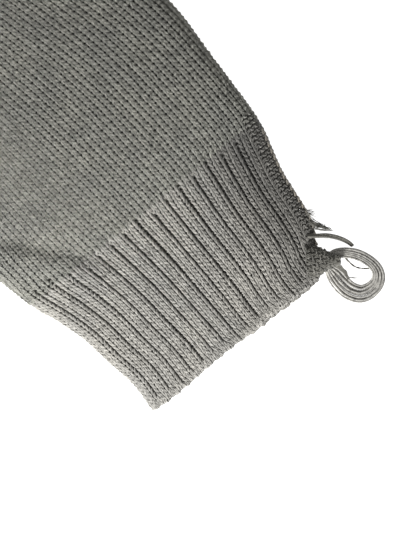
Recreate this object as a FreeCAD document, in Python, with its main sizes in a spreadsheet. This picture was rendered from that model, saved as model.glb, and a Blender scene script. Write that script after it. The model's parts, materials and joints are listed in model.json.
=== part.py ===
import FreeCAD, Part
import math
import os
import Sketcher

# A left knitted glove, lying palm up on a table, in millimetres.
# X runs across the hand (the thumb is at -X), Y from the wrist to the fingers and Z up.
# The origin is the middle of the ribbed cuff's flat underside.

SIZES = {
    # cloth
    "wall": 2.0,                # thickness of the knitted cloth
    "ground": 0.0,              # height of the table
    "ground_trim": 0.3,         # cloth cut away under the cuff to leave a true flat face
    "root_gap": 0.6,            # bare gap at each fold line between two moving pieces
    # ribbed cuff, measured as half its length each way from the origin
    "cuff_half": 26.0,
    "edge_band": 3.2,           # smooth tubular band at the cuff's opening
    "cuff_thick": 11.0,
    "cuff_mid_y": 4.0,          # station where the cuff starts to flare
    "mouth_width": 79.0,
    "edge_width": 80.0,
    "cuff_mid_width": 86.4,
    "wrist_width": 99.2,
    # seam along the cuff's little-finger side
    "seam_stand": 0.9,          # how far the seam stands out of the cuff's side
    "seam_bite": 0.6,           # how deep it is sewn into the wall
    "seam_tall": 3.6,
    # hand
    "hand_thick": 15.0,
    "hand_round": 5.0,
    "heel_y": 38.0,
    "heel_x": 51.8,
    "side_y": 66.0,
    "side_x": 53.2,
    "upper_y": 86.0,
    "upper_x": 52.2,
    "knuckle_x": -6.0,
    "knuckle_y": 121.0,
    "hand_lean": 12.0,          # turn of the finger roots towards the thumb, in degrees
    # thumb gusset and thumb
    "gusset_thick": 14.0,
    "gusset_foot_x": -50.3,
    "gusset_foot_y": 31.0,
    "gusset_low_x": -53.4,
    "gusset_low_y": 41.0,
    "gusset_mid_x": -58.5,
    "gusset_mid_y": 53.0,
    "gusset_high_x": -65.8,
    "gusset_high_y": 64.0,
    "gusset_top_x": -52.0,
    "gusset_top_y": 84.5,
    "thumb_root": 25.0,
    "thumb_lean": 30.2,
    "thumb_width": 24.0,
    "thumb_end": 21.0,
    "thumb_long": 48.0,
    "thumb_thick": 13.0,
    # fingers: width at the root and at the closure, length of the tube, step of the root, fan
    "finger_gap": 1.8,
    "finger_thick": 12.5,
    "finger_end_thick": 11.5,
    "index_width": 23.5,
    "index_end": 20.5,
    "index_long": 64.0,
    "index_step": 0.0,
    "index_fan": 3.0,
    "middle_width": 24.0,
    "middle_end": 21.0,
    "middle_long": 72.0,
    "middle_step": 3.0,
    "middle_fan": 1.0,
    "ring_width": 23.0,
    "ring_end": 20.0,
    "ring_long": 66.0,
    "ring_step": 0.0,
    "ring_fan": -1.0,
    "little_width": 20.5,
    "little_end": 18.0,
    "little_long": 54.0,
    "little_step": -11.0,
    "little_fan": -4.0,
    "fan_room": 0.9,            # extra room at a root for the corner that the fan brings nearer
    "tip_long": 8.0,            # closure of a finger or of the thumb
    "tip_hollow": 5.0,
    "join_wide": 1.0,           # knitted bridge in the fork between two fingers
    "join_long": 4.0,
    "join_tall": 10.0,
    "thumb_join_long": 6.0,
    "thumb_join_wide": 2.2,
    # spare yarn at the cuff's corner
    "knot_x": 38.9,
    "knot_y": -26.9,
    "knot_z": 5.5,
    "knot_radius": 2.2,
    "hank_x": 42.8,
    "hank_y": -36.6,
    "hank_ring": 6.6,
    "hank_thick": 2.3,
    "tail_radius": 0.75,
    "fray_x": 42.2,
    "fray_y": -13.0,
    "fray_z": 5.2,
    "fray_long": 6.0,
    "fray_root": 1.1,
    "fray_end": 0.4,
}

# The cut yarn tail leaves the seam near the cuff's opening and comes down to the table.
TAIL_ROUTE = [(41.7, -16.9, 5.2), (44.7, -20.3, 4.0), (47.2, -23.6, 2.4), (48.9, -27.3, 1.2)]
ARC_SHARE = 0.45                # share of the shorter run that an arc may take up
FINGERS = ("index", "middle", "ring", "little")

document = FreeCAD.newDocument("knitted_glove")
sheet = document.addObject("Spreadsheet::Sheet", "dims")
for row, (alias, size) in enumerate(SIZES.items(), start=1):
    sheet.set(f"A{row}", alias.replace("_", " "))
    sheet.set(f"B{row}", str(size))
    sheet.setAlias(f"B{row}", alias)
document.recompute()
pieces = []


def value(expression):
    """Number that an expression on the sheet's cells gives now."""
    return float(sheet.evalExpression(expression))


def turned(degrees, across, along):
    """Expressions of the X and Y steps for a step across and along a direction leaning to -X."""
    angle = f"(({degrees}) * 1deg)"
    step_x = f"(({across}) * cos({angle}) - ({along}) * sin({angle}))"
    step_y = f"(({across}) * sin({angle}) + ({along}) * cos({angle}))"
    return step_x, step_y


def on_knuckles(across, along):
    """Expressions of the plan point at a place given across and along the knuckle line."""
    step_x, step_y = turned("dims.hand_lean", across, along)
    return f"dims.knuckle_x + {step_x}", f"dims.knuckle_y + {step_y}"


def new_body(label):
    body = document.addObject("PartDesign::Body", label)
    body.Label = label
    pieces.append(body)
    return body


def sketch_on(body, name, role, offset):
    """Empty sketch on one of the body's own origin planes, moved off it along the normal."""
    sketch = body.newObject("Sketcher::SketchObject", name)
    plane = next(item for item in body.Origin.OriginFeatures if item.Role == role)
    sketch.AttachmentSupport = (plane, [""])
    sketch.MapMode = "FlatFace"
    sketch.setExpression("AttachmentOffset.Base.z", offset)
    return sketch


def stadium(body, name, station, width, thick, floor="dims.ground"):
    """Flattened-tube section across the body's Y axis, its underside at the floor height."""
    sketch = sketch_on(body, name, "XZ_Plane", f"-({station})")
    radius = value(thick) / 2
    half = value(width) / 2 - radius
    up = FreeCAD.Vector(0, 0, 1)
    quarter = math.pi / 2
    right = Part.Circle(FreeCAD.Vector(half, radius, 0), up, radius)
    left = Part.Circle(FreeCAD.Vector(-half, radius, 0), up, radius)
    sketch.addGeometry([
        Part.LineSegment(FreeCAD.Vector(-half, 0, 0), FreeCAD.Vector(half, 0, 0)),
        Part.ArcOfCircle(right, -quarter, quarter),
        Part.LineSegment(FreeCAD.Vector(half, 2 * radius, 0), FreeCAD.Vector(-half, 2 * radius, 0)),
        Part.ArcOfCircle(left, quarter, 3 * quarter),
    ], False)
    for first in range(4):
        sketch.addConstraint(Sketcher.Constraint("Tangent", first, 2, (first + 1) % 4, 1))
    sketch.addConstraint(Sketcher.Constraint("Horizontal", 2))
    sketch.addConstraint(Sketcher.Constraint("Symmetric", 0, 1, 0, 2, -2))
    for kind, ends, size in (
        ("DistanceX", (0, 1, 0, 2), f"{width} - ({thick})"),
        ("DistanceY", (0, 2, 1, 2), thick),
        ("DistanceY", (-1, 1, 0, 1), floor),
    ):
        number = sketch.addConstraint(Sketcher.Constraint(kind, *ends, value(size)))
        sketch.setExpression(f"Constraints[{number}]", size)
    return sketch


def outline(body, name, role, offset, loops):
    """Sketch of closed straight-sided loops, every corner bound to the sheet."""
    sketch = sketch_on(body, name, role, offset)
    first = 0
    for corners in loops:
        spots = [FreeCAD.Vector(value(x), value(y), 0) for x, y in corners]
        count = len(corners)
        sketch.addGeometry(
            [Part.LineSegment(spots[side], spots[(side + 1) % count]) for side in range(count)], False
        )
        for side in range(count):
            joint = Sketcher.Constraint("Coincident", first + side, 2, first + (side + 1) % count, 1)
            sketch.addConstraint(joint)
        for side, corner in enumerate(corners):
            for kind, size in zip(("DistanceX", "DistanceY"), corner):
                limit = Sketcher.Constraint(kind, -1, 1, first + side, 1, value(size))
                number = sketch.addConstraint(limit)
                sketch.setExpression(f"Constraints[{number}]", size)
        first += count
    return sketch


def loft(body, kind, name, sections):
    feature = body.newObject(f"PartDesign::{kind}", name)
    feature.Profile = sections[0]
    feature.Sections = sections[1:]
    feature.Ruled = True
    return feature


def tube(body, stations, sunk="dims.ground"):
    """Knitted tube through flattened sections, given as (station, width, thickness).

    The outside may be sunk below the ground, to be cut level afterwards.
    """
    outer = [
        stadium(body, f"Outer{number}", station, width, f"{thick} + {sunk}", f"-{sunk}")
        for number, (station, width, thick) in enumerate(stations)
    ]
    document.recompute()
    loft(body, "AdditiveLoft", "Cloth", outer)
    inner = [
        stadium(body, f"Inner{number}", station, f"{width} - 2 * dims.wall",
                f"{thick} - 2 * dims.wall", "dims.wall")
        for number, (station, width, thick) in enumerate(stations)
    ]
    document.recompute()
    loft(body, "SubtractiveLoft", "Inside", inner)


def shell(body, thick, rim, round_sides, hollows):
    """Flat pocket of cloth: a padded plan outline, some sides rounded, hollowed from within."""
    cloth = body.newObject("PartDesign::Pad", "Cloth")
    cloth.Profile = outline(body, "Rim", "XY_Plane", "dims.ground", [rim])
    cloth.setExpression("Length", thick)
    document.recompute()
    names = []
    for start, end in round_sides:
        middle_x = (value(rim[start][0]) + value(rim[end][0])) / 2
        middle_y = (value(rim[start][1]) + value(rim[end][1])) / 2
        for number, edge in enumerate(cloth.Shape.Edges, start=1):
            centre = edge.CenterOfMass
            if abs(centre.x - middle_x) + abs(centre.y - middle_y) < 1e-4:
                names.append(f"Edge{number}")
    if names:
        sides = body.newObject("PartDesign::Fillet", "Sides")
        sides.Base = (cloth, names)
        sides.setExpression("Radius", "dims.hand_round")
        document.recompute()
    for number, loops in enumerate(hollows):
        before = body.Shape.Volume
        inside = body.newObject("PartDesign::Pocket", f"Inside{number}")
        top = f"{thick} - dims.wall"
        inside.Profile = outline(body, f"InsidePlan{number}", "XY_Plane", top, loops)
        inside.setExpression("Length", f"{thick} - 2 * dims.wall")
        document.recompute()
        if not inside.Shape.Volume < before - 1:
            raise RuntimeError(f"{body.Label}: {inside.Name} cuts nothing")


def place(piece, x, y, lean):
    """Stand a piece at a plan point, turned about Z by the lean."""
    piece.Placement.Rotation = FreeCAD.Rotation(FreeCAD.Vector(0, 0, 1), value(lean))
    piece.setExpression("Placement.Base.x", x)
    piece.setExpression("Placement.Base.y", y)
    piece.setExpression("Placement.Rotation.Angle", f"({lean}) * 1deg")


def cut_level(body):
    """Cut a cuff piece off along the ground, which leaves it a true flat underside."""
    left, right = "-dims.wrist_width", "dims.wrist_width"
    near, far = "-2 * dims.cuff_half", "2 * dims.cuff_half"
    corners = [(left, near), (right, near), (right, far), (left, far)]
    underside = body.newObject("PartDesign::Pocket", "Underside")
    underside.Profile = outline(body, "Ground", "XY_Plane", "dims.ground", [corners])
    underside.setExpression("Length", "2 * dims.ground_trim")
    document.recompute()


def make_cuff():
    """Ribbed cuff and the smooth cast-on band at its opening."""
    band_top = "dims.edge_band - dims.cuff_half"
    rib = new_body("cuff_rib")
    tube(rib, [
        (band_top, "dims.edge_width", "dims.cuff_thick"),
        ("dims.cuff_mid_y", "dims.cuff_mid_width", "dims.cuff_thick"),
        ("dims.cuff_half", "dims.wrist_width", "dims.cuff_thick"),
    ], "dims.ground_trim")
    cut_level(rib)
    band = new_body("cuff_cast_on_edge")
    tube(band, [
        ("-dims.cuff_half", "dims.mouth_width", "dims.cuff_thick"),
        (band_top, "dims.edge_width", "dims.cuff_thick"),
    ], "dims.ground_trim")
    cut_level(band)


def make_side_seam():
    """Sewn seam that closes the flat-knitted cuff along its little-finger side."""
    body = new_body("side_seam")
    sections = []
    stations = (
        ("dims.edge_band - dims.cuff_half", "dims.edge_width"),
        ("dims.cuff_mid_y", "dims.cuff_mid_width"),
        ("dims.cuff_half", "dims.wrist_width"),
    )
    for number, (station, width) in enumerate(stations):
        inner = f"{width} / 2 - dims.seam_bite"
        outer = f"{width} / 2 + dims.seam_stand"
        low = "(dims.cuff_thick - dims.seam_tall) / 2"
        high = "(dims.cuff_thick + dims.seam_tall) / 2"
        corners = [(inner, low), (outer, low), (outer, high), (inner, high)]
        sections.append(
            outline(body, f"Section{number}", "XZ_Plane", f"-({station})", [corners])
        )
    document.recompute()
    loft(body, "AdditiveLoft", "Seam", sections)


def finger_spans():
    """Expressions of each finger's left and right side across the knuckle line."""
    widths = [f"dims.{name}_width" for name in FINGERS]
    total = f"({' + '.join(widths)} + {len(FINGERS) - 1} * dims.finger_gap)"
    spans = []
    left = f"-{total} / 2"
    for width in widths:
        spans.append((left, f"{left} + {width}"))
        left = f"{left} + {width} + dims.finger_gap"
    return spans


def make_hand(spans):
    """Palm and back of the hand, stepped at its upper end for the four finger roots."""
    forks = [f"{span[1]} + dims.finger_gap / 2" for span in spans[:-1]]
    steps = [f"dims.{name}_step" for name in FINGERS]
    base = "dims.cuff_half + dims.root_gap"
    half = "dims.wrist_width / 2"
    rim = [
        (half, base),
        ("dims.heel_x", "dims.heel_y"),
        ("dims.side_x", "dims.side_y"),
        ("dims.upper_x", "dims.upper_y"),
        on_knuckles(spans[3][1], steps[3]),
        on_knuckles(forks[2], steps[3]),
        on_knuckles(forks[2], steps[2]),
        on_knuckles(forks[1], steps[2]),
        on_knuckles(forks[1], steps[1]),
        on_knuckles(forks[0], steps[1]),
        on_knuckles(forks[0], steps[0]),
        on_knuckles(spans[0][0], steps[0]),
        ("dims.gusset_top_x", "dims.gusset_top_y"),
        ("dims.gusset_foot_x", "dims.gusset_foot_y"),
        (f"-{half}", base),
    ]
    wall = "dims.wall"
    beyond = f"{base} - {wall}"
    palm = [
        (f"{half} - {wall}", beyond),
        (f"dims.heel_x - {wall}", "dims.heel_y"),
        (f"dims.side_x - {wall}", "dims.side_y"),
        (f"dims.upper_x - {wall}", "dims.upper_y"),
        on_knuckles(f"{spans[3][1]} - {wall}", f"{steps[3]} - {wall}"),
        on_knuckles(f"{forks[2]} - {wall}", f"{steps[3]} - {wall}"),
        on_knuckles(f"{forks[2]} - {wall}", f"{steps[2]} - {wall}"),
        on_knuckles(f"{forks[1]} - {wall}", f"{steps[2]} - {wall}"),
        on_knuckles(f"{forks[1]} - {wall}", f"{steps[1]} - {wall}"),
        on_knuckles(f"{forks[0]} + {wall}", f"{steps[1]} - {wall}"),
        on_knuckles(f"{forks[0]} + {wall}", f"{steps[0]} - {wall}"),
        on_knuckles(f"{spans[0][0]} + {wall}", f"{steps[0]} - {wall}"),
        (f"dims.gusset_top_x + {wall}", "dims.gusset_top_y"),
        (f"dims.gusset_foot_x + {wall}", "dims.gusset_foot_y"),
        (f"{wall} - {half}", beyond),
    ]
    mouths = []
    for (left, right), step in zip(spans, steps):
        low = f"{step} - 1.5 * {wall}"
        high = f"{step} + {wall}"
        mouths.append([
            on_knuckles(f"{left} + {wall}", low),
            on_knuckles(f"{right} - {wall}", low),
            on_knuckles(f"{right} - {wall}", high),
            on_knuckles(f"{left} + {wall}", high),
        ])
    window = [
        (f"dims.gusset_top_x + 2.5 * {wall}", "dims.gusset_low_y + dims.wall"),
        (f"dims.gusset_top_x + 2.5 * {wall}", "dims.gusset_top_y - 2 * dims.wall"),
        (f"dims.gusset_top_x - {wall}", "dims.gusset_top_y - 2 * dims.wall"),
        (f"dims.gusset_top_x - {wall}", "dims.gusset_low_y + dims.wall"),
    ]
    body = new_body("hand_body")
    rounded = [(0, 1), (1, 2), (2, 3), (3, 4), (11, 12)]
    shell(body, "dims.hand_thick", rim, rounded, [[palm], mouths, [window]])


def thumb_line(along_root, out):
    """Plan point on the thumb's root line, measured from the fork and outwards from the line."""
    step_x, step_y = turned("dims.thumb_lean", f"-({along_root})", out)
    return f"dims.gusset_top_x + {step_x}", f"dims.gusset_top_y + {step_y}"


def make_gusset():
    """Gore that widens the hand towards the thumb, open to the palm and to the thumb."""
    foot = ("dims.gusset_foot_x", "dims.gusset_foot_y")
    low = ("dims.gusset_low_x", "dims.gusset_low_y")
    middle = ("dims.gusset_mid_x", "dims.gusset_mid_y")
    high = ("dims.gusset_high_x", "dims.gusset_high_y")
    rim = [
        foot,
        ("dims.gusset_top_x", "dims.gusset_top_y"),
        thumb_line("dims.thumb_root", "dims.ground"),
        high,
        middle,
        low,
    ]
    inset = "1.25 * dims.wall"
    inside = [
        (f"{low[0]} + {inset}", f"{low[1]} + dims.wall"),
        ("dims.gusset_foot_x + dims.wall", f"{low[1]} + dims.wall"),
        ("dims.gusset_foot_x + dims.wall", "dims.gusset_top_y - 2 * dims.wall"),
        thumb_line(inset, "-2 * dims.wall"),
        thumb_line(inset, "dims.wall"),
        thumb_line(f"dims.thumb_root - {inset}", "dims.wall"),
        thumb_line(f"dims.thumb_root - {inset}", "-dims.wall / 2"),
        (f"{high[0]} + {inset}", high[1]),
        (f"{middle[0]} + {inset}", middle[1]),
    ]
    body = new_body("thumb_gusset")
    shell(body, "dims.gusset_thick", rim, [], [[inside]])


def make_digit(name, x, y, lean, sizes):
    """One finger or the thumb: a knitted tube and the gathered closure at its end."""
    width, end_width, thick, end_thick, length = sizes
    digit = new_body(f"{name}_finger" if name in FINGERS else name)
    tube(digit, [
        ("dims.ground", width, thick),
        (length, end_width, end_thick),
    ])
    tip = new_body(f"{name}_tip")
    stations = [
        (length, end_width, end_thick),
        (f"{length} + 0.55 * dims.tip_long", f"0.86 * {end_width}", f"0.9 * {end_thick}"),
        (f"{length} + dims.tip_long", f"0.5 * {end_width}", f"0.55 * {end_thick}"),
    ]
    outer = [stadium(tip, f"Outer{number}", *station) for number, station in enumerate(stations)]
    document.recompute()
    loft(tip, "AdditiveLoft", "Cloth", outer)
    inner = [
        stadium(tip, "Inner0", length, f"{end_width} - 2 * dims.wall",
                f"{end_thick} - 2 * dims.wall", "dims.wall"),
        stadium(tip, "Inner1", f"{length} + dims.tip_hollow", f"0.7 * {end_width} - 2 * dims.wall",
                f"0.75 * {end_thick} - 2 * dims.wall", "dims.wall"),
    ]
    document.recompute()
    loft(tip, "SubtractiveLoft", "Inside", inner)
    for piece in (digit, tip):
        place(piece, x, y, lean)


def make_fingers(spans):
    for name, (left, right) in zip(FINGERS, spans):
        middle = f"({left} + {right}) / 2"
        root = f"dims.{name}_step + dims.root_gap + dims.fan_room"
        x, y = on_knuckles(middle, root)
        sizes = (f"dims.{name}_width", f"dims.{name}_end", "dims.finger_thick",
                 "dims.finger_end_thick", f"dims.{name}_long")
        make_digit(name, x, y, f"dims.hand_lean + dims.{name}_fan", sizes)


def make_thumb():
    x, y = thumb_line("dims.thumb_root / 2", "dims.root_gap")
    sizes = ("dims.thumb_width", "dims.thumb_end", "dims.thumb_thick",
             "dims.finger_end_thick", "dims.thumb_long")
    make_digit("thumb", x, y, "dims.thumb_lean", sizes)


def make_joins(spans):
    """Small knitted bridges in the forks between the fingers and beside the thumb."""
    for number, span in enumerate(spans[:-1]):
        lower, upper = FINGERS[number], FINGERS[number + 1]
        fork = f"{span[1]} + dims.finger_gap / 2"
        step = f"dims.{lower}_step"
        if value(f"dims.{upper}_step") > value(step):
            step = f"dims.{upper}_step"
        body = new_body(f"{lower}_{upper}_join")
        corners = [
            on_knuckles(f"{fork} - dims.join_wide / 2", step),
            on_knuckles(f"{fork} + dims.join_wide / 2", step),
            on_knuckles(f"{fork} + dims.join_wide / 2", f"{step} + dims.join_long"),
            on_knuckles(f"{fork} - dims.join_wide / 2", f"{step} + dims.join_long"),
        ]
        pad_join(body, corners)
    top_corner = on_knuckles(spans[0][0], "dims.index_step")
    rise = f"({top_corner[1]} - dims.gusset_top_y)"
    slope = f"(({top_corner[0]} - dims.gusset_top_x) / {rise})"
    start = "dims.gusset_top_y + dims.wall"
    end = f"{start} + dims.thumb_join_long"
    side_at_start = f"dims.gusset_top_x + {slope} * dims.wall"
    side_at_end = f"dims.gusset_top_x + {slope} * (dims.wall + dims.thumb_join_long)"
    pad_join(new_body("thumb_join"), [
        (side_at_start, start),
        (side_at_end, end),
        (f"{side_at_end} - dims.thumb_join_wide", end),
    ])


def pad_join(body, corners):
    low = "(dims.finger_thick - dims.join_tall) / 2"
    pad = body.newObject("PartDesign::Pad", "Bridge")
    pad.Profile = outline(body, "Plan", "XY_Plane", low, [corners])
    pad.setExpression("Length", "dims.join_tall")


def make_knot():
    """Knot that ties the spare yarn to the corner of the cuff's opening."""
    knot = document.addObject("Part::Sphere", "hank_knot")
    knot.Label = "hank_knot"
    knot.setExpression("Radius", "dims.knot_radius")
    knot.setExpression("Placement.Base.x", "dims.knot_x")
    knot.setExpression("Placement.Base.y", "dims.knot_y")
    knot.setExpression("Placement.Base.z", "dims.knot_z")
    pieces.append(knot)


def make_hank():
    """Outer shape of the small wound loop of spare yarn, lying flat on the table."""
    hank = document.addObject("Part::Torus", "yarn_hank")
    hank.Label = "yarn_hank"
    hank.setExpression("Radius1", "dims.hank_ring")
    hank.setExpression("Radius2", "dims.hank_thick")
    hank.setExpression("Placement.Base.x", "dims.hank_x")
    hank.setExpression("Placement.Base.y", "dims.hank_y")
    hank.setExpression("Placement.Base.z", "dims.hank_thick")
    pieces.append(hank)


def rounded_path(route):
    """Straight runs through the route's points, joined by tangent arcs."""
    points = [FreeCAD.Vector(*point) for point in route]
    edges = []
    start = points[0]
    for number in range(1, len(points) - 1):
        corner = points[number]
        back = points[number - 1] - corner
        ahead = points[number + 1] - corner
        half_turn = (math.pi - back.getAngle(ahead)) / 2
        trim = ARC_SHARE * min(back.Length, ahead.Length)
        radius = trim / math.tan(half_turn)
        print(f"yarn_tail bend {number}: radius {radius:.2f} mm")
        back.normalize()
        ahead.normalize()
        enter = corner + back * trim
        leave = corner + ahead * trim
        inward = (back + ahead).normalize()
        middle = corner + inward * (radius / math.cos(half_turn) - radius)
        edges.append(Part.LineSegment(start, enter).toShape())
        edges.append(Part.Arc(enter, middle, leave).toShape())
        start = leave
    edges.append(Part.LineSegment(start, points[-1]).toShape())
    return Part.Wire(edges)


def make_tail():
    """Cut two-ply end of the seam yarn: a plain tube along its route."""
    path = rounded_path(TAIL_ROUTE)
    first = path.Edges[0]
    start = first.valueAt(first.FirstParameter)
    direction = first.tangentAt(first.FirstParameter)
    radius = value("dims.tail_radius")
    ring = Part.Wire(Part.makeCircle(radius, start, direction))
    solid = path.makePipeShell([ring], True, False)
    expected = math.pi * radius ** 2 * path.Length
    print(f"yarn_tail: length {path.Length:.1f} mm, volume {solid.Volume:.2f} of {expected:.2f} mm3")
    tail = document.addObject("Part::Feature", "yarn_tail")
    tail.Label = "yarn_tail"
    tail.Shape = solid
    pieces.append(tail)


def make_fray():
    """Tuft of broken fibres that stands out of the seam beside the tail."""
    fray = document.addObject("Part::Cone", "frayed_end")
    fray.Label = "frayed_end"
    fray.setExpression("Radius1", "dims.fray_root")
    fray.setExpression("Radius2", "dims.fray_end")
    fray.setExpression("Height", "dims.fray_long")
    outward = FreeCAD.Vector(0.85, -0.45, -0.27)
    fray.Placement.Rotation = FreeCAD.Rotation(FreeCAD.Vector(0, 0, 1), outward)
    fray.setExpression("Placement.Base.x", "dims.fray_x")
    fray.setExpression("Placement.Base.y", "dims.fray_y")
    fray.setExpression("Placement.Base.z", "dims.fray_z")
    pieces.append(fray)


def check_document():
    document.recompute()
    for item in document.Objects:
        if {"Invalid", "Error"} & set(item.State):
            raise RuntimeError(f"{item.Label} failed: {item.State}")
    for piece in pieces:
        shape = piece.Shape
        if shape.isNull() or not shape.isValid() or not shape.Solids:
            raise RuntimeError(f"{piece.Label} has no valid solid")


def export_pieces():
    os.makedirs("parts", exist_ok=True)
    for piece in pieces:
        piece.Shape.exportStep(f"parts/{piece.Label}.step")
        box = piece.Shape.optimalBoundingBox()
        print(f"{piece.Label}: {piece.Shape.Volume:.0f} mm3, x {box.XMin:.1f} to {box.XMax:.1f}, "
              f"y {box.YMin:.1f} to {box.YMax:.1f}, z {box.ZMin:.2f} to {box.ZMax:.2f}")


spans = finger_spans()
make_cuff()
make_side_seam()
make_hand(spans)
make_gusset()
make_fingers(spans)
make_thumb()
make_joins(spans)
make_knot()
make_hank()
make_tail()
make_fray()
check_document()
export_pieces()
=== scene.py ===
import json
import math
from collections import namedtuple

import bpy
import numpy as np
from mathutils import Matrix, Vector


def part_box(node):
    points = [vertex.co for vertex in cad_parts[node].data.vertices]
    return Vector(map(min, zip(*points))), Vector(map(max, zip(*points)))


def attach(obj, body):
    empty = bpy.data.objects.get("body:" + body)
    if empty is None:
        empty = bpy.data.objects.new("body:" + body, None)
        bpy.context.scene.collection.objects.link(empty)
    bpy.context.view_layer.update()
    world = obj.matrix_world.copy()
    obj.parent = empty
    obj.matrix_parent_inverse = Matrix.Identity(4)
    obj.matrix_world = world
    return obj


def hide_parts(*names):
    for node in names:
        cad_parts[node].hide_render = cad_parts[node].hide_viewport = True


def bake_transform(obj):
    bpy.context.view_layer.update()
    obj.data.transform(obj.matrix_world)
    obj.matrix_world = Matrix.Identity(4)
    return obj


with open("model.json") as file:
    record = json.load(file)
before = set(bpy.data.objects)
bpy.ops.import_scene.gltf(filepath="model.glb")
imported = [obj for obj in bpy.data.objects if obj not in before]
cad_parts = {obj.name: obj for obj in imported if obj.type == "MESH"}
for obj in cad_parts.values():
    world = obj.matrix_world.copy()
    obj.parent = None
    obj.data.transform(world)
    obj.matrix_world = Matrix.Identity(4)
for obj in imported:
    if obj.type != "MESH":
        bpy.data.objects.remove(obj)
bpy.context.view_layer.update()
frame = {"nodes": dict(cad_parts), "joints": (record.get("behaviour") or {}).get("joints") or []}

# A left knitted glove, palm up. Lengths in this script are millimetres until a mesh is made.
MM = 0.001

# ---- knit gauge -------------------------------------------------------------------------
WALES = 102                 # stitches round the cuff and the hand
COURSE = 1.58               # height of one row of stitches
WALE = 2.2                  # width of one stitch in the hand
# ply: radius of each of the yarn's two plies; apart: distance of a ply from the yarn's middle.
# tall: height of a loop, in rows; sway: sideways swing of its legs; open: how far its two legs stand
# apart; skew: lean of both legs, all in stitches; deep: how far the legs stand in front of the heads.
Gauge = namedtuple("Gauge", "ply apart tall sway open skew deep")
HAND_GAUGE = Gauge(0.26, 0.24, 1.58, 0.280, 0.090, -0.05, 0.52)
CUFF_GAUGE = Gauge(0.30, 0.22, 1.62, 0.285, 0.055, -0.03, 0.42)
BULGE = 0.75                # how far the yarn stands out of the cloth's middle surface
STEPS = 8                   # points along one stitch
SIDES = 4                   # sides of a ply's tube
CHUNK = 1500                # stitches in one mesh
LINING_DEEP = 0.62          # depth of the cloth's soft inner face below its middle surface
LINING_ROUND = 160          # points round the inner face
NUDGE = 0.02                # small step, in stitches and in millimetres, that gives a surface's normal
TINY = 1e-9                 # shortest vector that has a direction
LEAST_GORE = 0.15           # least width that each extra stitch of the thumb's gore takes up
UP = np.array([0.0, 0.0, 1.0])


def smoothstep(low, high, x):
    t = np.clip((x - low) / (high - low), 0.0, 1.0)
    return t * t * (3.0 - 2.0 * t)


def curve_through(*points):
    """Smooth function through (x, y) points, flat beyond its ends."""
    xs, ys = np.array(points, float).T
    slopes = np.gradient(ys, xs)

    def value(x):
        x = np.clip(np.asarray(x, float), xs[0], xs[-1])
        i = np.clip(np.searchsorted(xs, x) - 1, 0, len(xs) - 2)
        span = xs[i + 1] - xs[i]
        t = (x - xs[i]) / span
        a = ys[i] * (1 + 2 * t) * (1 - t) ** 2 + ys[i + 1] * t * t * (3 - 2 * t)
        return a + slopes[i] * span * t * (1 - t) ** 2 - slopes[i + 1] * span * t * t * (1 - t)

    return value


# ---- hand: outline, thickness and run of the stitches ---------------------------------------
CUFF_END = -26.0            # the cuff's opening
CUFF_TOP = 26.0             # where the rib meets the plain hand
V_END = 119.1               # last row of the hand, on its centre line
KNUCKLES = (-6.0, 121.0)
HAND_LEAN = math.radians(12.0)

right_side = curve_through((-26, 36.6), (-20.3, 38.0), (-16.9, 39.3), (-13.4, 42.2), (-10, 43.6),
                           (-4.2, 44.6), (7.3, 46.2), (14.5, 48.2),
                           (21.6, 50.2), (29.4, 51.4), (37.9, 51.8), (55, 52.6), (71.6, 53.4),
                           (86, 52.2), (103, 48.3), (121, 43.4), (132, 40.8))
left_side = curve_through((-26, -40.2), (-15, -39.6), (-5, -41.3), (5.3, -42.7), (16.8, -45.9),
                          (23.3, -48.3), (29.4, -50.1), (38, -50.6), (84, -52.0), (111, -53.1),
                          (132, -53.6))
thickness = curve_through((-26, 8.0), (-10, 9.2), (12, 10.4), (26, 11.8), (38, 14.2), (50, 15.0),
                          (80, 14.4), (108, 13.2), (121, 12.5))
wale_lean = curve_through((-26, 0.5), (0, 1.5), (20, 4.0), (50, 5.6), (81, 8.8), (98, 10.7), (121, 12.0))
row_step = curve_through((-49, 0), (-24, 1.0), (-11, 3.0), (2, 2.2), (14, 0), (24, -3.0), (30, -8.5),
                         (38, -11.3), (49, -11.5))
edge_reach = curve_through((-40, -2.0), (-36, -2.7), (-28, -3.0), (-16, -2.6), (-6, -2.6), (4, -2.8),
                           (12, -2.6), (20, -3.0), (28, -3.1), (34, -2.8), (40, -1.6))
# heights up the hand at which its outline is worked out once, and the run of the middle stitch there
STATIONS = np.linspace(-40.0, 125.0, 331)
DRIFT = -np.cumsum(np.tan(np.radians(wale_lean(STATIONS)))) * (STATIONS[1] - STATIONS[0])
DRIFT -= np.interp(CUFF_END, STATIONS, DRIFT)


def gusset_width(y):
    return np.interp(y, [31.0, 38.6, 46.0, 53.0, 59.0, 65.0, 71.9, 84.5],
                     [0.0, 1.3, 3.8, 7.2, 10.8, 15.2, 21.4, 0.0])


def row_tilt(v):
    return HAND_LEAN * smoothstep(30.0, 125.0, v)


def side_reach(v, side):
    """Distance from the centre line to a side, along a row's own direction."""
    centre = np.interp(v, STATIONS, DRIFT)
    tilt = row_tilt(v)
    reach = np.full_like(np.asarray(v, float), 45.0 if side is right_side else -45.0)
    for _ in range(6):
        reach = (side(v + reach * np.sin(tilt)) - centre) / np.cos(tilt)
    return reach


RIGHT = side_reach(STATIONS, right_side)
LEFT = side_reach(STATIONS, left_side)
GUSSET = np.maximum(LEFT - side_reach(STATIONS, lambda y: left_side(y) - gusset_width(y)), 0.0)
FINGERS = ("index", "middle", "ring", "little")
FINGER_WIDTHS = {"index": 23.5, "middle": 24.0, "ring": 23.0, "little": 20.5}
FINGER_GAP = 1.8


def finger_spans():
    left = -(sum(FINGER_WIDTHS.values()) + 3 * FINGER_GAP) / 2
    spans = []
    for name in FINGERS:
        spans.append((left, left + FINGER_WIDTHS[name]))
        left += FINGER_WIDTHS[name] + FINGER_GAP
    return spans


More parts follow.
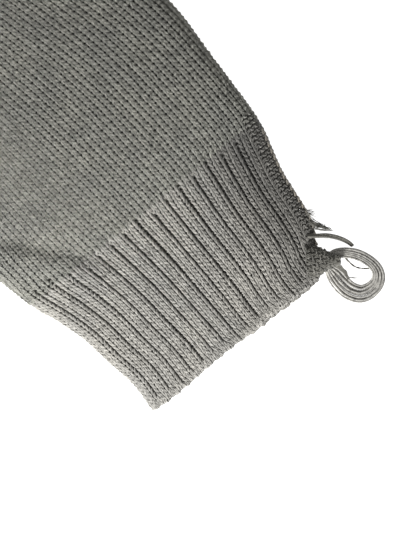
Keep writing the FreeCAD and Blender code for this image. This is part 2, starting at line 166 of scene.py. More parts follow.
def lobes(across):
    """Share of the full thickness over each finger root, pinched in the forks."""
    share = np.zeros_like(across)
    for left, right in finger_spans():
        x = (across - (left + right) / 2) / ((right - left) / 2 + FINGER_GAP / 2)
        share = np.maximum(share, np.clip(1 - np.abs(x) ** 3.2, 0, 1) ** (1 / 3.2))
    return np.maximum(share, 0.12)


def extra_wales(v):
    return int(round(2 * float(np.interp(v, STATIONS, GUSSET)) / WALE))


def group_noise(group, v):
    """Slow variation from rib to rib and along a rib, from -1 to 1."""
    return 0.6 * np.sin(group * 2.4 + v * 0.05 + 1.0) + 0.4 * np.sin(group * 5.1 - v * 0.13)


def rib_amount(wale, v):
    """How strongly the cloth is drawn into ribs at a stitch and height."""
    group = np.floor((wale + 0.5) / 3.0)
    top = 22.5 + 1.6 * group_noise(group, 0.0) + 5.0 * smoothstep(38.0, 48.0, wale)
    fade = 1.0 - smoothstep(-1.5, 5.5, v - top)
    edge = smoothstep(CUFF_END + 1.8, CUFF_END + 4.2, v + 0.7 * group_noise(group, 9.0))
    from_seam = np.minimum(wale, WALES - wale)
    return fade * edge * smoothstep(2.6, 4.4, from_seam)


def rib_shift(wale, v):
    """Stitch place after the purl columns have closed up, and the drop below the ribs' tops."""
    amount = rib_amount(wale, v)
    cell = wale + 0.5
    group = np.floor(cell / 3.0)
    spot = cell - 3.0 * group
    opened = np.clip(0.2 + 0.8 * group_noise(group, v), 0, 1) * smoothstep(8.0, 16.0, wale)
    opened = opened * (1 - smoothstep(38.0, 44.0, wale))
    purl = 1.0 - amount * (0.54 - 0.30 * opened)
    knit = (3.0 - purl) / 2.0
    moved = np.where(spot < 2.0, spot * knit, 2.0 * knit + (spot - 2.0) * purl)
    away = np.abs(moved - knit)
    away = np.minimum(away, 3.0 - away) / 1.5
    drop = amount * (0.24 * away ** 2 + 2.2 * smoothstep(0.79, 0.92, away))
    return 3.0 * group + moved - 0.5, drop


CREASE_SPOT = (-19.5, 21.4)
CREASE_RUN = (-0.622, 0.783)    # direction along the crease


def fold(x, y):
    """Crease where the palm sags over the ribs' tops, with a puff on its thumb side."""
    along = (x - CREASE_SPOT[0]) * CREASE_RUN[0] + (y - CREASE_SPOT[1]) * CREASE_RUN[1]
    off = (x - CREASE_SPOT[0]) * -CREASE_RUN[1] + (y - CREASE_SPOT[1]) * CREASE_RUN[0]
    reach = smoothstep(-6.0, 8.0, along) * (1 - smoothstep(30.0, 50.0, along))
    return reach * (1.3 * np.exp(-((off - 7.0) / 5.5) ** 2) - 1.5 * np.exp(-(off / 3.6) ** 2))


def flattened_tube(along, radius, flat, near, far, shown):
    """Across and up, from the middle height, of places along the outline of a flattened tube.

    radius is that of its rounded sides, near and far are their centres, flat is the length between the
    centres, and shown is the radius less any groove in the cloth.
    """
    quarter = math.pi * radius / 2
    edges = [quarter, quarter + flat, 3 * quarter + flat, 3 * quarter + 2 * flat]
    part = sum((along >= edge).astype(int) for edge in edges)
    parts = [part == 0, part == 1, part == 2, part == 3]
    first = along / radius
    second = math.pi / 2 + (along - edges[1]) / radius
    last = 3 * math.pi / 2 + (along - edges[3]) / radius
    across = np.select(parts, [near + shown * np.cos(first), near - (along - edges[0]),
                               far + shown * np.cos(second), far + (along - edges[2])],
                       near + shown * np.cos(last))
    up = np.select(parts, [shown * np.sin(first), shown, shown * np.sin(second), -shown],
                   shown * np.sin(last))
    return across, up


# height up the hand, and how much its rounded sides are flattened and sag there
SIDE_FLATNESS = ([-26.0, 20.0, 60.0, 100.0, 119.0], [0.42, 0.46, 0.34, 0.25, 0.0])
SIDE_SAG = ([-26.0, 20.0, 45.0, 100.0, 119.0], [1.0, 1.0, 0.6, 0.5, 0.0])


def hand_surface(wale, v, count):
    """Point of the hand's cloth at a stitch and at a height up the hand."""
    inside = v < CUFF_END
    rim = 0.95
    turn = np.clip((v - CUFF_END) / rim, -math.pi / 2, math.pi / 2)
    y = np.where(v > CUFF_END + rim * math.pi / 2, v, CUFF_END + rim * math.pi / 2 - rim * np.cos(turn))
    y = np.where(v < CUFF_END - rim * math.pi / 2, 2 * CUFF_END - v, y)
    sink = rim * (1 - np.sin(turn))
    main = WALES / 2
    extra = count - WALES
    top = wale < main
    low = wale >= main + extra
    on_main = np.where(low, wale - extra, wale)
    main_wale = np.where(top | low, on_main, main)
    moved, drop = rib_shift(main_wale, np.where(inside, CUFF_END, y))
    drop = np.where(top | low, drop, 0.0)
    moved = np.where(top | low, moved, main)
    right = np.interp(y, STATIONS, RIGHT) - BULGE
    left = np.interp(y, STATIONS, LEFT) + BULGE
    gusset = np.maximum(np.interp(y, STATIONS, GUSSET), LEAST_GORE * extra)
    radius = thickness(y) / 2 - BULGE
    half_way = (right - left) - 2 * radius + math.pi * radius
    slide = (right + left) / 2
    share = np.where(low, (WALES - moved) / main, moved / main)
    slide = slide * (1 - smoothstep(0.5, 0.97, share))
    along = np.where(low, 2 * half_way + 2 * gusset - share * half_way, share * half_way)
    gore = half_way + (wale - main) / max(extra, 1) * 2 * gusset
    along = np.where(top | low, along + slide, gore)
    full = 2 * half_way + 2 * gusset
    along = np.mod(along, full)
    flat = right - left + gusset - 2 * radius
    across, up = flattened_tube(along, radius, flat, right - radius, left - gusset + radius,
                                radius - drop - sink)
    centre = np.interp(y, STATIONS, DRIFT)
    tilt = row_tilt(y)
    from_knuckles = across + (centre - KNUCKLES[0])
    pinch = smoothstep(V_END - 10.0, V_END - 0.5, y)
    up = up * (1 - pinch * (1 - lobes(from_knuckles)))
    aside = np.clip(np.abs((across - (right + left) / 2) / ((right - left) / 2)), 0, 1)
    flatter = np.interp(y, *SIDE_FLATNESS)
    creased = up * (1 - flatter * aside ** 2.4) + fold(across + centre, y) * (up > 1.5)
    up = np.where(up > 0, creased, up)
    step = row_step(from_knuckles) * np.clip((y - 66.0) / (V_END - 66.0), 0, None) ** 3
    x = centre + across * np.cos(tilt) - step * math.sin(HAND_LEAN)
    py = y + across * np.sin(tilt) + step * math.cos(HAND_LEAN)
    lip = smoothstep(0.5, -1.0, up) * smoothstep(-4.0, 8.0, x) * (1 - smoothstep(29.0, 35.0, x))
    scallop = 0.22 * np.sin(1.35 * x) + 0.16 * np.sin(2.9 * x + 1.0)
    py = py + (edge_reach(x) - lip + scallop) * (1 - smoothstep(CUFF_END, CUFF_END + 30.0, y))
    sag = np.interp(y, *SIDE_SAG)
    sag = sag * np.where(across > 0, 0.52, 0.30) * aside ** 2
    return np.stack([x, py, (up + thickness(y) / 2) * (1 - sag)], -1)


# ---- yarn meshes ---------------------------------------------------------------------------
def mesh_object(name, points, quads, material):
    mesh = bpy.data.meshes.new(name)
    mesh.vertices.add(len(points))
    mesh.vertices.foreach_set("co", (points * MM).astype(np.float32).ravel())
    mesh.loops.add(quads.size)
    mesh.loops.foreach_set("vertex_index", quads.ravel().astype(np.int32))
    mesh.polygons.add(len(quads))
    mesh.polygons.foreach_set("loop_start", np.arange(0, quads.size, 4, dtype=np.int32))
    mesh.update(calc_edges=True)
    mesh.polygons.foreach_set("use_smooth", np.ones(len(quads), bool))
    mesh.materials.append(material)
    obj = bpy.data.objects.new(name, mesh)
    bpy.context.scene.collection.objects.link(obj)
    return obj


def ring_points(line, normal, radius, closed=True, sides=SIDES):
    """Vertices of a tube round a line whose upward side is given."""
    if closed:
        tangent = np.roll(line, -1, 0) - np.roll(line, 1, 0)
    else:
        tangent = np.gradient(line, axis=0)
    tangent /= np.linalg.norm(tangent, axis=1, keepdims=True)
    side = np.cross(tangent, normal)
    side /= np.maximum(np.linalg.norm(side, axis=1, keepdims=True), TINY)
    up = np.cross(side, tangent)
    angles = 2 * math.pi * (np.arange(sides) + 0.25) / sides
    radius = np.broadcast_to(np.asarray(radius, float), (len(line),))
    ring = np.cos(angles)[None, :, None] * side[:, None] + np.sin(angles)[None, :, None] * up[:, None]
    return line[:, None] + radius[:, None, None] * ring


def ring_quads(count, offset, closed=True, sides=SIDES):
    rows = np.arange(count if closed else count - 1)
    nxt = (rows + 1) % count
    side = np.arange(sides)
    turn = (side + 1) % sides
    a = rows[:, None] * sides + side
    b = rows[:, None] * sides + turn
    c = nxt[:, None] * sides + turn
    d = nxt[:, None] * sides + side
    return np.stack([a, b, c, d], -1).reshape(-1, 4) + offset


def knit_row(surface, v, count, rng, face, gauge):
    """Centre line of one row of loops on a surface, and the surface's normal along it."""
    t = np.arange(count * STEPS) / STEPS
    stitch = np.round(t).astype(int) % count
    uneven = rng.normal(0.0, 1.0, (3, count))[:, stitch]
    uneven = 0.4 * (uneven + np.roll(uneven, 1, 1))
    turn = 2 * math.pi * t
    wale = t + gauge.sway * np.sin(2 * turn) + gauge.open * np.sin(turn) + gauge.skew * np.cos(turn)
    wale = wale + 0.02 * uneven[0]
    height = v + (gauge.tall * COURSE / 2) * np.cos(turn) + 0.07 * uneven[1]
    deep = -gauge.deep * np.cos(2 * turn) * face(t, height) + 0.06 * uneven[2]
    wale = np.mod(wale, count)
    here = surface(wale, height, count)
    ahead = surface(np.mod(wale + NUDGE, count), height, count)
    above = surface(wale, height + NUDGE, count)
    normal = np.cross(above - here, ahead - here)
    size = np.linalg.norm(normal, axis=1, keepdims=True)
    normal = np.where(size > TINY, normal / np.maximum(size, TINY), [-1.0, 0.0, 0.0])
    return here + deep[:, None] * normal, normal


def plies(line, normal, turns, closed=True, apart=0.25):
    """The centre lines of two plies twisted round each other along a line."""
    tangent = np.roll(line, -1, 0) - np.roll(line, 1, 0) if closed else np.gradient(line, axis=0)
    tangent /= np.linalg.norm(tangent, axis=1, keepdims=True)
    side = np.cross(tangent, normal)
    side /= np.maximum(np.linalg.norm(side, axis=1, keepdims=True), TINY)
    up = np.cross(side, tangent)
    angle = (math.pi / 2 - 2 * math.pi * turns)[:, None]
    away = apart * (np.cos(angle) * side + np.sin(angle) * up)
    return line + away, line - away


def all_knit(t, height):
    return np.ones_like(t)


def rib_face(t, height):
    """1 on knit columns and -1 on the ribs' purl columns and beside the seam."""
    spot = np.mod(t + 0.5, 3.0)
    amount = rib_amount(np.floor(t + 0.5), height)
    purl = smoothstep(1.9, 2.1, spot) * (1 - smoothstep(2.9, 3.0, spot)) * (amount > 0.4)
    beside_seam = (1 - smoothstep(2.4, 2.6, t)) * (height < 30.0)
    return 1.0 - 2.0 * np.maximum(purl, beside_seam)


def knit(name, surface, rows, material, seed, face=all_knit, gauge=HAND_GAUGE):
    """Knitted cloth as rows of yarn loops, in meshes of a bounded size: [(object, low, high)]."""
    rng = np.random.default_rng(seed)
    made = []
    points, quads, held, used, low = [], [], 0, 0, rows[0][0]
    for number, (v, count) in enumerate(rows):
        line, normal = knit_row(surface, v, count, rng, face, gauge)
        wander = np.interp(np.arange(len(line)) / STEPS, np.arange(count + 1),
                           np.resize(rng.normal(0.0, 0.06, count), count + 1))
        turns = np.arange(len(line)) / STEPS + wander
        for ply in plies(line, normal, turns, apart=gauge.apart):
            points.append(ring_points(ply, normal, gauge.ply).reshape(-1, 3))
            quads.append(ring_quads(len(line), held))
            held += len(line) * SIDES
        used += count
        last = number == len(rows) - 1
        if last or used + rows[number + 1][1] > CHUNK:
            label = f"{name}_{len(made) + 1}"
            obj = mesh_object(label, np.concatenate(points), np.concatenate(quads), material)
            made.append((obj, low, v))
            points, quads, held, used = [], [], 0, 0
            if not last:
                low = rows[number + 1][0]
    return made


def lining(name, surface, rows, material):
    """The soft inner face of the cloth, which closes the small holes between its loops; given a dark
    material, it is painted shade seen through those holes.
    """
    across = LINING_ROUND
    rings = []
    for v, count in rows:
        wale = np.mod(np.arange(across) / across * count, count)
        height = np.full(across, float(v))
        here = surface(wale, height, count)
        normal = np.cross(surface(wale, height + NUDGE, count) - here,
                          surface(np.mod(wale + NUDGE, count), height, count) - here)
        normal /= np.maximum(np.linalg.norm(normal, axis=1, keepdims=True), TINY)
        rings.append(here - LINING_DEEP * normal)
    row = np.arange(len(rings) - 1)[:, None] * across
    spot = np.arange(across)
    nxt = (spot + 1) % across
    quads = np.stack([row + spot, row + across + spot, row + across + nxt, row + nxt], -1)
    return mesh_object(name, np.concatenate(rings), quads.reshape(-1, 4), material)


# ---- materials ---------------------------------------------------------------------------------
def yarn_material(name, dark, light, warm=0.0, fleck=0.5, painted_shade=None):
    """Marl yarn: soft light and dark fibres, slow tone changes and a hairy, matt surface.

    The last argument is (x where it starts, x where it is full, tone there): painted shade that darkens
    the yarn's colour towards +X, for the side that lies in shade.
    """
    material = bpy.data.materials.new(name)
    material.use_nodes = True
    nodes = material.node_tree.nodes
    links = material.node_tree.links
    shader = nodes["Principled BSDF"]
    shader.inputs["Roughness"].default_value = 0.92
    shader.inputs["Specular IOR Level"].default_value = 0.15
    shader.inputs["Sheen Weight"].default_value = 0.25
    shader.inputs["Sheen Roughness"].default_value = 0.6
    place = nodes.new("ShaderNodeTexCoord")

    def noise(scale, detail, rough=0.5):
        node = nodes.new("ShaderNodeTexNoise")
        node.inputs["Scale"].default_value = scale
        node.inputs["Detail"].default_value = detail
        node.inputs["Roughness"].default_value = rough
        links.new(place.outputs["Object"], node.inputs["Vector"])
        return node.outputs["Fac"]

    def spread(source, low, high):
        node = nodes.new("ShaderNodeMapRange")
        node.inputs["From Min"].default_value = low
        node.inputs["From Max"].default_value = high
        links.new(source, node.inputs["Value"])
        return node.outputs["Result"]

    fibres = spread(noise(2600.0, 3.0, 0.6), 0.32, 0.68)
    strands = spread(noise(700.0, 2.0), 0.34, 0.66)
    patches = spread(noise(70.0, 2.0), 0.35, 0.65)
    blend = nodes.new("ShaderNodeMath")
    blend.operation = "MULTIPLY_ADD"
    links.new(fibres, blend.inputs[0])
    blend.inputs[1].default_value = fleck
    scaled = nodes.new("ShaderNodeMath")
    scaled.operation = "MULTIPLY"
    links.new(strands, scaled.inputs[0])
    scaled.inputs[1].default_value = 1.0 - fleck
    links.new(scaled.outputs[0], blend.inputs[2])
    colour = nodes.new("ShaderNodeMix")
    colour.data_type = "RGBA"
    colour.inputs["A"].default_value = (*dark, 1.0)
    colour.inputs["B"].default_value = (*light, 1.0)
    links.new(blend.outputs[0], colour.inputs["Factor"])
    tone = nodes.new("ShaderNodeMix")
    tone.data_type = "RGBA"
    tone.blend_type = "MULTIPLY"
    tone.inputs["Factor"].default_value = 1.0
    shade = nodes.new("ShaderNodeMix")
    shade.data_type = "RGBA"
    shade.inputs["A"].default_value = (0.90, 0.90, 0.90, 1.0)
    shade.inputs["B"].default_value = (1.06, 1.05 - warm * 0.05, 1.03 - warm * 0.12, 1.0)
    links.new(patches, shade.inputs["Factor"])
    links.new(colour.outputs["Result"], tone.inputs["A"])
    links.new(shade.outputs["Result"], tone.inputs["B"])
    result = tone.outputs["Result"]
    # painted shade: the colour is darkened along +X, for the side of the cloth that lies in shade
    if painted_shade:
        apart = nodes.new("ShaderNodeSeparateXYZ")
        links.new(place.outputs["Object"], apart.inputs["Vector"])
        shade_ramp = nodes.new("ShaderNodeMapRange")
        shade_ramp.interpolation_type = "SMOOTHSTEP"
        shade_ramp.inputs["From Min"].default_value = painted_shade[0] * MM
        shade_ramp.inputs["From Max"].default_value = painted_shade[1] * MM
        shade_ramp.inputs["To Min"].default_value = 1.0
        shade_ramp.inputs["To Max"].default_value = painted_shade[2]
        links.new(apart.outputs["X"], shade_ramp.inputs["Value"])
        shaded_colour = nodes.new("ShaderNodeMix")
        shaded_colour.data_type = "RGBA"
        shaded_colour.blend_type = "MULTIPLY"
        shaded_colour.inputs["Factor"].default_value = 1.0
        links.new(result, shaded_colour.inputs["A"])
        links.new(shade_ramp.outputs["Result"], shaded_colour.inputs["B"])
        result = shaded_colour.outputs["Result"]
    links.new(result, shader.inputs["Base Color"])
    bump = nodes.new("ShaderNodeBump")
    bump.inputs["Strength"].default_value = 0.35
    bump.inputs["Distance"].default_value = 0.0002
    links.new(fibres, bump.inputs["Height"])
    links.new(bump.outputs["Normal"], shader.inputs["Normal"])
    return material


# painted light: the cuff's yarn is lighter than the hand's, for the cuff lying in brighter light; the
# cuff and hand yarns also get painted shade darkening them towards +X
cuff_yarn_painted_light = yarn_material("cuff_marl_painted_light", (0.15, 0.146, 0.133), (0.46, 0.447, 0.414), painted_shade=(14, 42, 0.50))
hand_yarn = yarn_material("hand_marl", (0.09, 0.09, 0.079), (0.40, 0.398, 0.355), painted_shade=(34, 54, 0.92))
seam_yarn = yarn_material("seam_marl", (0.15, 0.14, 0.12), (0.48, 0.45, 0.40), warm=0.6)
knot_yarn = yarn_material("knot_marl", (0.05, 0.049, 0.041), (0.20, 0.194, 0.172))
# painted shade: the inner face is coloured far darker than the yarn, for the shade seen through the
# holes between the loops
inner_face_painted_shade = yarn_material("inner_marl_painted_shade", (0.045, 0.045, 0.040), (0.09, 0.09, 0.080))
spare_yarn = yarn_material("spare_marl", (0.15, 0.145, 0.135), (0.46, 0.45, 0.42), fleck=0.35)


# ---- hand and cuff ----------------------------------------------------------------------------
def hand_rows():
    rows = []
    v = CUFF_END - 7.0
    while v < V_END:
        rows.append((v, WALES + extra_wales(v)))
        v += COURSE
    return rows


def joint(name):
    return next(item for item in frame["joints"] if item["name"] == name)


WRIST_BAND = 11.0           # length over which the cloth folds at the wrist, each way


def make_hand():
    rows = hand_rows()
    cuff = [row for row in rows if row[0] < CUFF_TOP]
    hand = [row for row in rows if row[0] >= CUFF_TOP]
    outside = [row for row in rows if row[0] > CUFF_END]
    inner = lining("hand_inner_face_painted_shade", hand_surface, outside, inner_face_painted_shade)
    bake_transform(inner)
    for obj, low, high in knit("cuff_knit", hand_surface, cuff, cuff_yarn_painted_light, 11, rib_face, CUFF_GAUGE):
        if high > CUFF_TOP - WRIST_BAND - 4:
            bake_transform(obj)
        else:
            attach(obj, "cuff")
        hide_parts("cuff_rib", "cuff_cast_on_edge")
    for obj, low, high in knit("hand_knit", hand_surface, hand, hand_yarn, 12, rib_face):
        if low < CUFF_TOP + WRIST_BAND + 4:
            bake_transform(obj)
        else:
            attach(obj, "hand")
        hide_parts("hand_body", "thumb_gusset", "index_middle_join", "middle_ring_join",
                    "ring_little_join", "thumb_join")


# ---- fingers and thumb --------------------------------------------------------------------------
def digit_surface(root, lean, width, end_width, thick, end_thick, length, tip):
    """Flattened tube from its root to a domed closure."""
    along_dir = np.array([-math.sin(lean), math.cos(lean), 0.0])
    across_dir = np.array([math.cos(lean), math.sin(lean), 0.0])

    def surface(wale, v, count):
        s = np.clip(v / length, -0.2, 1.0)
        dome = np.clip((v - length) / tip, 0.0, 0.999)
        angle = dome * math.pi / 2
        reach = np.where(v > length, length + tip * np.sin(angle), v)
        shrink = np.cos(angle)
        radius = (thick + (end_thick - thick) * s) / 2 - BULGE
        half = (width + (end_width - width) * s) / 2 - BULGE
        half = half + 0.35 * np.sin(v * 0.11 + width)
        flat = half - radius
        total = 4 * flat + 2 * math.pi * radius
        across, up = flattened_tube(wale / count * total, radius, 2 * flat, flat, -flat, radius)
        across = across * shrink
        middle = radius + BULGE
        up = middle + up * shrink
        base = root[None] + reach[:, None] * along_dir + across[:, None] * across_dir
        base[:, 2] = up
        return base

    return surface


def make_digit(body, tube, tip_node, hinge_name, width, end_width, wales, seed):
    """One finger or the thumb: rows of loops, closed by narrowing rows and a gathered end."""
    hinge = joint(hinge_name)
    lean = math.atan2(hinge["axis"][1], hinge["axis"][0])
    root = np.array([hinge["pos_m"][0], hinge["pos_m"][1], 0.0]) / MM
    along_dir = np.array([-math.sin(lean), math.cos(lean)])
    tip_mesh = frame["nodes"][tip_node].data
    spots = np.array([vertex.co for vertex in tip_mesh.vertices])[:, :2] / MM
    far = float(((spots - root[:2]) @ along_dir).max())
    tip = 11.0
    length = far - tip - BULGE
    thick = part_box(tube)[1].z / MM
    end_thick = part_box(tip_node)[1].z / MM
    surface = digit_surface(root, lean, width + FINGER_GAP, end_width, thick, end_thick, length, tip)
    rows = []
    v = -5.0
    while v < length:
        rows.append((v, wales))
        v += COURSE
    arc = tip * math.pi / 2
    used = v - length
    while used < arc - 1.2:
        scale = math.cos(used / arc * math.pi / 2)
        rows.append((length + used / arc * tip, max(6, round(wales * scale ** 0.8))))
        used += COURSE
    inner = lining(f"{tube}_inner_face_painted_shade", surface, rows, inner_face_painted_shade)
    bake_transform(inner)
    for obj, low, high in knit(f"{tube}_knit", surface, rows, hand_yarn, seed):
        if low < 20:
            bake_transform(obj)
        else:
            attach(obj, body)
        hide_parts(tube, tip_node)


def make_digits():
    fingers = (("index", 20.5, 26), ("middle", 21.0, 26), ("ring", 20.0, 26), ("little", 18.0, 23))
    for number, (name, end_width, wales) in enumerate(fingers):
        make_digit(f"{name}_finger", f"{name}_finger", f"{name}_tip", f"{name}_bend",
                   FINGER_WIDTHS[name], end_width, wales, 30 + number)
    make_digit("thumb", "thumb", "thumb_tip", "thumb_bend", 24.0, 21.0, 26, 40)


# ---- spare yarn, seam and loose ends ---------------------------------------------------------------
def strand_object(name, lines, material, sides=6):
    """Open strands of yarn, each given as (line, radius, normal), in one mesh."""
    points, quads, held = [], [], 0
    for line, radius, normal in lines:
        points.append(ring_points(line, normal, radius, False, sides).reshape(-1, 3))
        quads.append(ring_quads(len(line), held, False, sides))
        held += len(line) * sides
    return mesh_object(name, np.concatenate(points), np.concatenate(quads), material)


def smooth_line(spots, count):
    """Smooth open line through spots."""
    spots = np.array(spots, float)
    place = np.linspace(0, len(spots) - 1, count)
    i = np.minimum(place.astype(int), len(spots) - 2)
    f = (place - i)[:, None]
    before = spots[np.maximum(i - 1, 0)]
    after = spots[np.minimum(i + 2, len(spots) - 1)]
    return curve_step(before, spots[i], spots[i + 1], after, f)


def curve_step(p0, p1, p2, p3, f):
    return 0.5 * (2 * p1 + (p2 - p0) * f + (2 * p0 - 5 * p1 + 4 * p2 - p3) * f ** 2
                  + (3 * p1 - p0 - 3 * p2 + p3) * f ** 3)


# The wound loop's middle line from the knot and back: x, y, height, half the width of the bundle.
HANK_LINE = ((38.9, -26.0, 4.6, 0.85), (41.6, -25.8, 4.2, 1.15), (44.6, -27.8, 3.2, 1.45),
             (47.6, -31.3, 2.2, 1.60), (49.4, -36.0, 1.7, 1.65), (49.2, -40.0, 1.4, 1.85),
             (46.8, -42.6, 1.2, 2.20), (43.4, -43.2, 1.1, 2.55), (40.0, -42.2, 1.0, 2.80),
             (37.8, -39.2, 1.1, 2.85), (37.0, -35.6, 1.5, 2.80), (37.0, -31.6, 2.4, 2.50),
             (37.2, -28.2, 3.7, 1.30))
HANK_TURNS = 10
HANK_STEPS = 39             # points along one turn
HANK_YARN = 0.72            # diameter of the spare yarn


def hank_point(phase):
    """Middle line, half width and sideways direction of the loop at a phase from 0 to 1."""
    table = np.array(HANK_LINE)
    count = len(table)

    def at(phase):
        place = np.mod(phase, 1.0) * count
        i = int(place)
        rows = [table[(i + step) % count] for step in (-1, 0, 1, 2)]
        return curve_step(*rows, place - i)

    here = at(phase)
    ahead = at(phase + 0.01) - at(phase - 0.01)
    side = np.array([ahead[1], -ahead[0]])
    return here, side / np.linalg.norm(side)


def make_hank():
    """Spare yarn wound into a loop, one cord from the knot round and back into it."""
    points = []
    total = HANK_TURNS * HANK_STEPS
    for number in range(total + 1):
        whole = number / HANK_STEPS
        turn = min(int(whole), HANK_TURNS - 1)
        phase = whole - turn
        step = turn + float(smoothstep(0.92, 1.0, phase)) * (turn < HANK_TURNS - 1)
        (x, y, z, half), side = hank_point(phase)
        lane = -1 + 2 * step / (HANK_TURNS - 1)
        lane += 0.07 * math.sin(2 * math.pi * (phase + 0.37 * turn)) * (turn % 2)
        narrow = min(max((3.1 - half) / 1.2, 0.6), 1.0)
        level = 0.5 - 0.5 * math.cos(math.pi * step)
        points.append((x + side[0] * lane * half, y + side[1] * lane * half,
                       max(z - 0.6 + 0.8 * level * narrow, 0.45)))
    points = np.array(points) * MM
    curve = bpy.data.curves.new("yarn_hank_winding", "CURVE")
    curve.dimensions = "3D"
    curve.bevel_depth = HANK_YARN / 2 * MM
    curve.bevel_resolution = 3
    curve.resolution_u = 3
    curve.use_fill_caps = True
    spline = curve.splines.new("NURBS")
    spline.points.add(len(points) - 1)
    for point, spot in zip(spline.points, points):
        point.co = (*spot, 1.0)
    spline.order_u = 3
    spline.use_endpoint_u = True
    curve.materials.append(spare_yarn)
    obj = bpy.data.objects.new("yarn_hank_winding", curve)
    bpy.context.scene.collection.objects.link(obj)
    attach(obj, "hank")
    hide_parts("yarn_hank")


def make_hank_ends():
    """A stray strand and a frayed dark end inside the loop."""
    rng = np.random.default_rng(71)
    count = 26
    stray = smooth_line([(43.6, -28.6, 3.2), (43.8, -31.7, 2.2), (44.4, -33.9, 1.5), (45.6, -35.5, 1.3),
                         (47.9, -37.5, 1.6)], count)
    twisted = plies(stray, UP * np.ones((count, 1)), np.linspace(0, 2, count), False, 0.12)
    lines = [(ply, 0.22, UP) for ply in twisted]
    for number in range(28):
        away = rng.normal(0.0, 0.45, 2) - [0.45, 0.0]
        reach = rng.uniform(0.75, 1.0)
        line = smooth_line([(39.9 + away[0], -28.0 + away[1], 4.0), (40.6 + away[0], -30.4, 3.4),
                            (40.6 + 0.7 * away[1], -33.0, 2.8),
                            (40.2 + away[0], -33.0 - 2.9 * reach, 2.2)], 14)
        lines.append((line, np.linspace(0.21, 0.07, 14), UP))
    for number in range(7):
        end = rng.normal(0.0, 0.5, 2)
        line = smooth_line([(40.4, -35.2, 2.1), (41.4 + 0.3 * end[0], -36.2 + 0.3 * end[1], 1.8),
                            (42.6 + end[0], -37.2 + end[1], 1.5)], 9)
        lines.append((line, np.linspace(0.08, 0.03, 9), UP))
    obj = strand_object("hank_loose_ends", lines, knot_yarn)
    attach(obj, "hank")
    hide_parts("yarn_hank")


NECK_FROM = np.array([33.4, -22.6])
NECK_TO = np.array([40.9, -27.9])


def neck_surface(wale, v, count):
    """The corner of the cloth drawn together towards the knot."""
    along = (NECK_TO - NECK_FROM) / np.linalg.norm(NECK_TO - NECK_FROM)
    across = np.array([along[1], -along[0]])
    share = np.clip(v / np.linalg.norm(NECK_TO - NECK_FROM), 0, 1)
    half = 5.2 - 3.3 * smoothstep(0.15, 1.0, share) - BULGE * 0.6
    tall = 3.2 - 1.3 * share - BULGE * 0.6
    angle = 2 * math.pi * wale / count
    base = NECK_FROM + v[:, None] * along + (half * np.cos(angle))[:, None] * across
    return np.column_stack([base, 4.1 + 0.5 * share + tall * np.sin(angle)])


def tangled(t, height):
    """Knit and purl in turn, for cloth whose stitches no longer line up."""
    return np.where((np.floor(t + 0.5) + np.floor(height / COURSE)) % 2 > 0, 1.0, -1.0)


def make_knot():
    """Drawn-together corner of the cuff, wrapped with yarn."""
    rows = [(1.3 * number, 14) for number in range(8)]
    pieces = [obj for obj, low, high in knit("knot_neck", neck_surface, rows, knot_yarn, 61, tangled)]
    pieces.append(lining("knot_neck_inner_face_painted_shade", neck_surface, rows, inner_face_painted_shade))
    along = np.append((NECK_TO - NECK_FROM) / np.linalg.norm(NECK_TO - NECK_FROM), 0.0)
    across = np.array([along[1], -along[0], 0.0])
    lines = []
    wraps = ((0.5, -1.6, 2.2), (-0.7, -0.9, 1.9), (0.9, -2.7, 2.8), (-0.2, -0.2, 1.7))
    for lean, place, wide in wraps:
        angle = np.linspace(0.0, 2 * math.pi, 40)
        out = np.cos(angle)[:, None] * across * wide + np.sin(angle)[:, None] * UP * 1.75
        centre = np.append(NECK_TO, 4.5) + along * place
        wrap = centre + out + (lean * np.cos(angle + 0.6))[:, None] * along
        for ply in plies(wrap, out, np.linspace(0, 4.0, 40), False, 0.22):
            lines.append((ply, 0.27, out))
    pieces.append(strand_object("knot_wraps", lines, knot_yarn, 5))
    for obj in pieces:
        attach(obj, "cuff")
        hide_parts("hank_knot")


def make_tail():
    """Cut two-ply end of the seam's yarn."""
    count = 70
    line = smooth_line([(38.4, -15.4, 4.4), (41.2, -17.6, 4.4), (43.7, -19.6, 3.8), (46.0, -22.4, 2.8),
                        (47.6, -25.4, 1.8), (48.2, -27.9, 1.2)], count)
    radius = np.full(count, 0.46)
    radius[-5:] = [0.46, 0.45, 0.42, 0.34, 0.20]
    turns = np.linspace(0.10, 0.42, count)
    lines = [(ply, radius, UP) for ply in plies(line, UP * np.ones((count, 1)), turns, False, 0.36)]
    rng = np.random.default_rng(72)
    for number in range(12):
        start = line[rng.integers(4, 60)]
        away = rng.normal(0.0, 0.7, 3)
        away[2] = abs(away[2]) * 0.5
        middle = start + away * 0.6 + [0.5, -0.5, 0.2]
        hair = smooth_line([start, middle, start + away + [1.1, -1.3, 0]], 7)
        lines.append((hair, np.linspace(0.06, 0.02, 7), UP))
    obj = strand_object("yarn_tail_plies", lines, knot_yarn, 8)
    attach(obj, "cuff")
    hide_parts("yarn_tail")


def make_fray():
    """Tuft of broken fibres beside the tail, and a smaller one above it."""
    rng = np.random.default_rng(73)
    lines = []
    for number in range(64):
        root = np.array([42.2, -13.0, 4.3]) + rng.normal(0.0, 1.0, 3) * [0.5, 1.0, 0.6]
        reach = rng.uniform(0.45, 1.0)
        goal = np.array([46.3, -19.4, 3.0]) + rng.normal(0.0, 0.35, 3)
        bend = rng.normal(0.0, 0.35, 3)
        middle = root + (goal - root) * 0.5 * reach + bend
        line = smooth_line([root, middle, root + (goal - root) * reach], 10)
        lines.append((line, np.linspace(0.13, 0.04, 10), UP))
    for number in range(18):
        root = np.array([43.4, -9.4, 4.2]) + rng.normal(0.0, 1.0, 3) * [0.3, 0.7, 0.5]
        goal = root + [1.8, -1.4, -0.3] + rng.normal(0.0, 0.5, 3)
        line = smooth_line([root, (root + goal) / 2 + rng.normal(0.0, 0.25, 3), goal], 8)
        lines.append((line, np.linspace(0.12, 0.03, 8), UP))
    obj = strand_object("frayed_fibres", lines, knot_yarn, 4)
    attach(obj, "cuff")
    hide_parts("frayed_end")


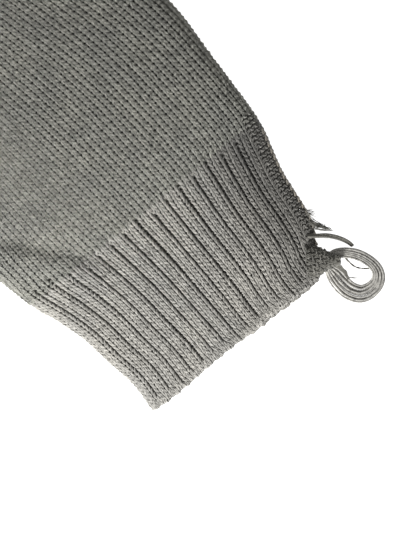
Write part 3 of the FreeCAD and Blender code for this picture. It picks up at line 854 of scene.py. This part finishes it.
def make_seam():
    """Slanted sewing stitches down the cuff's little-finger side."""
    rng = np.random.default_rng(74)
    lines = []
    share = np.linspace(0, 1, 9)
    for y in np.arange(-21.5, 24.0, 2.3):
        spot = hand_surface(np.array([0.2]), np.array([y]), WALES)[0]
        out = 0.35 + 0.45 * np.sin(math.pi * share) + rng.normal(0, 0.05)
        line = np.column_stack([spot[0] + out, spot[1] + (share - 0.5) * 3.0,
                                spot[2] + (0.5 - share) * 2.2])
        side = np.array([1.0, 0.0, 0.0])
        for ply in plies(line, side * np.ones((9, 1)), share * 0.8, False, 0.22):
            lines.append((ply, 0.25, side))
    obj = strand_object("side_seam_stitches", lines, seam_yarn, 5)
    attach(obj, "cuff")
    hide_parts("side_seam")


# ---- camera, floor and light ----------------------------------------------------------------------
PICTURE_TALL = 533          # dots in the render's height
SCALE = 0.34                # width on the table, in millimetres, that one dot of the render shows
FRAME_TALL = PICTURE_TALL * SCALE
CAMERA_HIGH = 1500.0
CAMERA_SPOT = (3.7, -0.2)
CAMERA_TURN = math.radians(-39.5)
SENSOR = 36.0


def make_camera():
    data = bpy.data.cameras.new("camera")
    data.sensor_width = SENSOR
    data.lens = SENSOR * CAMERA_HIGH / FRAME_TALL
    data.clip_end = 10.0
    camera = bpy.data.objects.new("camera", data)
    camera.location = (CAMERA_SPOT[0] * MM, CAMERA_SPOT[1] * MM, CAMERA_HIGH * MM)
    camera.rotation_euler = (0.0, 0.0, CAMERA_TURN)
    bpy.context.scene.collection.objects.link(camera)
    bpy.context.scene.camera = camera


def make_floor():
    half = 3.0
    mesh = bpy.data.meshes.new("floor")
    mesh.from_pydata([(-half, -half, 0), (half, -half, 0), (half, half, 0), (-half, half, 0)], [],
                     [(0, 1, 2, 3)])
    material = bpy.data.materials.new("floor_white")
    material.use_nodes = True
    shader = material.node_tree.nodes["Principled BSDF"]
    shader.inputs["Base Color"].default_value = (0.9, 0.9, 0.9, 1)
    shader.inputs["Roughness"].default_value = 0.9
    shader.inputs["Emission Color"].default_value = (1, 1, 1, 1)
    shader.inputs["Emission Strength"].default_value = 0.9
    mesh.materials.append(material)
    floor = bpy.data.objects.new("floor", mesh)
    floor.location.z = -0.0002
    bpy.context.scene.collection.objects.link(floor)


def area_light(name, spot, size, power):
    data = bpy.data.lights.new(name, "AREA")
    data.shape = "DISK"
    data.size = size
    data.energy = power
    light = bpy.data.objects.new(name, data)
    light.location = spot
    light.rotation_euler = (-Vector(spot)).to_track_quat("-Z", "Y").to_euler()
    bpy.context.scene.collection.objects.link(light)


def make_light():
    world = bpy.data.worlds.new("studio")
    world.use_nodes = True
    background = world.node_tree.nodes["Background"]
    background.inputs["Color"].default_value = (1.0, 1.0, 1.0, 1.0)
    background.inputs["Strength"].default_value = 0.35
    bpy.context.scene.world = world
    area_light("key", (-0.36, -0.19, 0.30), 0.14, 4.7)
    bpy.context.scene.view_settings.view_transform = "Standard"


make_camera()
make_hank()
make_floor()
make_light()
make_hand()
make_digits()
make_hank_ends()
make_knot()
make_tail()
make_fray()
make_seam()
